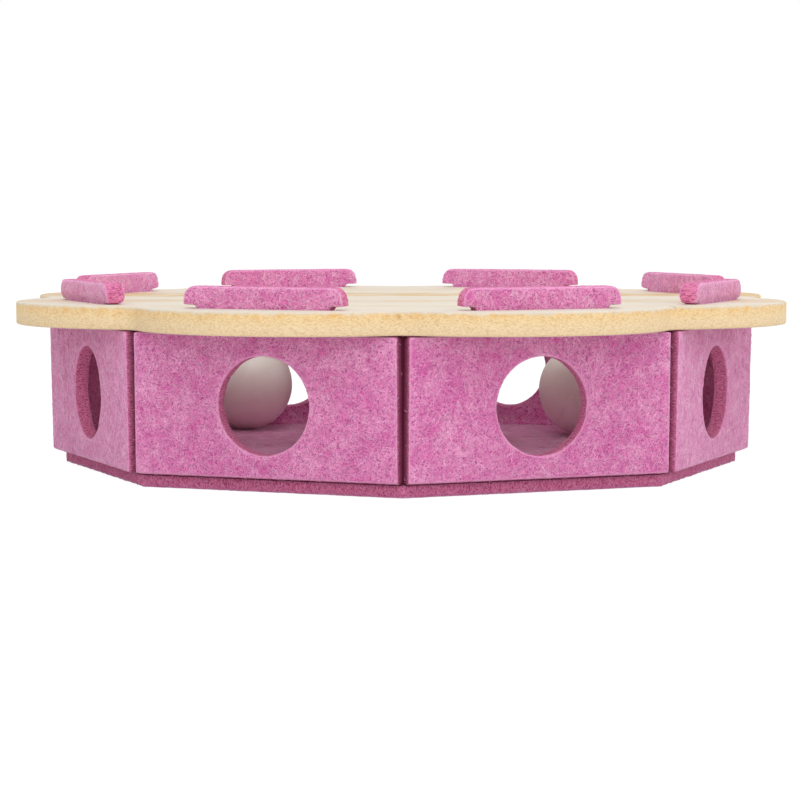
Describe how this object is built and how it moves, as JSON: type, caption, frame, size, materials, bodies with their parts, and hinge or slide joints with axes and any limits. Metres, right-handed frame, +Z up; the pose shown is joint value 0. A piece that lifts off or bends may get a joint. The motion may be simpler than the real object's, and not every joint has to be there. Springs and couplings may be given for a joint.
{
  "type": "felt cat activity mat",
  "caption": "Octagonal felt tray with paw holes in its folded-up walls, tabbed into a flower-shaped plywood lid with round holes, with loose play balls inside.",
  "frame": {"origin": "on the floor, under the middle of the octagonal tray", "axes": "+Z up; -Y towards the corner of the tray that faces the viewer; +X to the viewer's right"},
  "size_m": [0.307, 0.307, 0.0768],
  "materials": {
    "felt": "pink pressed felt, die cut",
    "plywood": "pale softwood plywood, sanded and left bare",
    "ball_plastic": "white, matte"
  },
  "bodies": {
    "tray": {"floor_panel": "felt", "wall_flap_1": "felt", "wall_flap_2": "felt", "wall_flap_3": "felt", "wall_flap_4": "felt", "wall_flap_5": "felt", "wall_flap_6": "felt", "wall_flap_7": "felt", "wall_flap_8": "felt", "tab_head_1": "felt", "tab_head_2": "felt", "tab_head_3": "felt", "tab_head_4": "felt", "tab_head_5": "felt", "tab_head_6": "felt", "tab_head_7": "felt", "tab_head_8": "felt"},
    "lid": {"lid_panel": "plywood"},
    "left_ball": {"play_ball_1": "ball_plastic"},
    "right_ball": {"play_ball_2": "ball_plastic"}
  },
  "joints": [
    {"name": "lid_lift", "type": "slide", "parent": "tray", "child": "lid", "axis": [0, 0, 1], "range_m": [0, 0.03], "deforming": ["tab_head_1", "tab_head_2", "tab_head_3", "tab_head_4", "tab_head_5", "tab_head_6", "tab_head_7", "tab_head_8"]},
    {"name": "left_ball_roll", "type": "slide", "parent": "tray", "child": "left_ball", "axis": [0, -1, 0], "range_m": [-0.002, 0.174]},
    {"name": "right_ball_roll", "type": "slide", "parent": "tray", "child": "right_ball", "axis": [0, -1, 0], "range_m": [-0.0285, 0.1375]}
  ]
}
